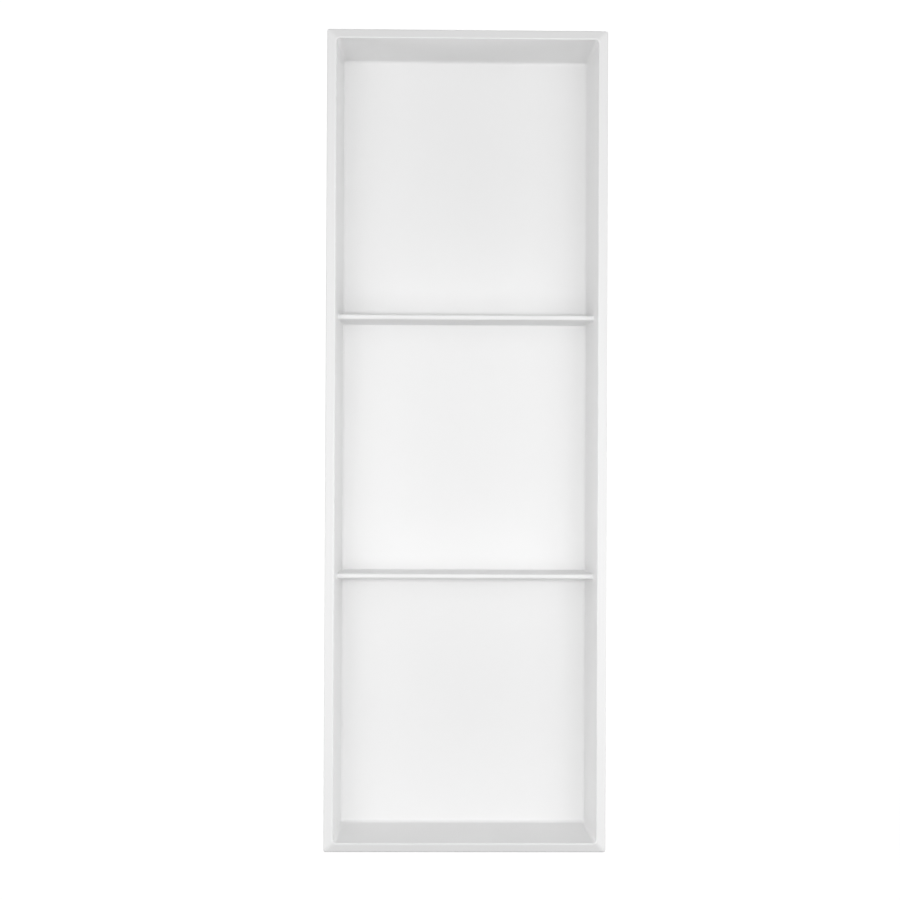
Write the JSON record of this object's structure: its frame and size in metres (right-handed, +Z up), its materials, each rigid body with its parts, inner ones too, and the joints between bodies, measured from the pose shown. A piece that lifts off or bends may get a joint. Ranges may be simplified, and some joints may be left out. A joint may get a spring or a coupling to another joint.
{
  "type": "shower niche insert",
  "caption": "Tall white recessed shower niche with a slim sloped front frame, drafted walls, and two thin shelves moulded in one piece with it that part it into three bays.",
  "frame": {"origin": "middle of the frame's back face, on the plane of the finished wall", "axes": "+Z up, +Y into the wall, the niche opens towards -Y, +X to the right as seen from the front"},
  "size_m": [0.313, 0.1002, 0.914],
  "materials": {
    "white_shell": "satin white moulded plastic, through-coloured"
  },
  "bodies": {
    "root": {"niche_insert": "white_shell"}
  },
  "joints": []
}
